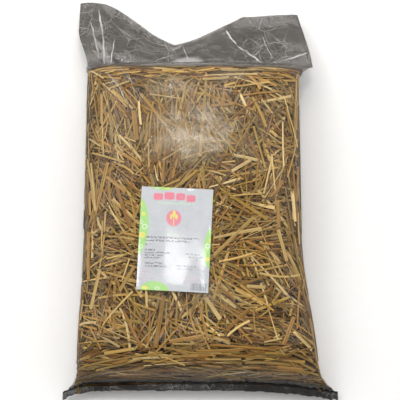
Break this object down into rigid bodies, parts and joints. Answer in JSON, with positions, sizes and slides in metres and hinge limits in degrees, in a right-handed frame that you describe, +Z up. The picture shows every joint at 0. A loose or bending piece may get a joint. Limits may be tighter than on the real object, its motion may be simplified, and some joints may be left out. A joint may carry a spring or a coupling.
{
  "type": "bag of straw",
  "caption": "Clear film bag packed with loose wheat straw, welded across its foot, pressed flat at its open neck, lying on its back with a paper label on the front.",
  "frame": {"origin": "on the floor, under the middle of the lying bag's box", "axes": "+Z up out of the front of the bag, +Y along the bag from its welded foot to its open mouth, +X to the right of someone at the foot"},
  "size_m": [0.396, 0.6074, 0.12],
  "materials": {
    "film": "clear thin polyethylene film, glossy, smoke tint where layers lie together",
    "paper": "coated white label paper with printed bars and blobs, slightly glossy",
    "packed_straw": "packed loose wheat straw, dry and matte with deep gaps",
    "culm": "dry wheat culm, satin, golden with fine lengthwise grain",
    "leaf_blade": "dry wheat leaf, matte, with parallel veins"
  },
  "bodies": {
    "root": {"film_bag": "film", "paper_label": "paper", "packed_straw": "packed_straw", "culm_01": "culm", "culm_02": "culm", "culm_03": "culm", "culm_04": "culm", "culm_05": "culm", "culm_06": "culm", "culm_07": "culm", "culm_08": "culm", "culm_09": "culm", "culm_10": "culm", "culm_11": "culm", "culm_12": "culm", "culm_13": "culm", "culm_14": "culm", "culm_15": "culm", "culm_16": "culm", "culm_17": "culm", "culm_18": "culm", "culm_19": "culm", "culm_20": "culm", "culm_21": "culm", "culm_22": "culm", "leaf_blade_01": "leaf_blade", "leaf_blade_02": "leaf_blade", "leaf_blade_03": "leaf_blade", "leaf_blade_04": "leaf_blade", "leaf_blade_05": "leaf_blade", "leaf_blade_06": "leaf_blade", "leaf_blade_07": "leaf_blade", "leaf_blade_08": "leaf_blade", "leaf_blade_09": "leaf_blade", "leaf_blade_10": "leaf_blade", "leaf_blade_11": "leaf_blade", "leaf_blade_12": "leaf_blade", "leaf_blade_13": "leaf_blade", "leaf_blade_14": "leaf_blade", "leaf_blade_15": "leaf_blade"}
  },
  "joints": []
}
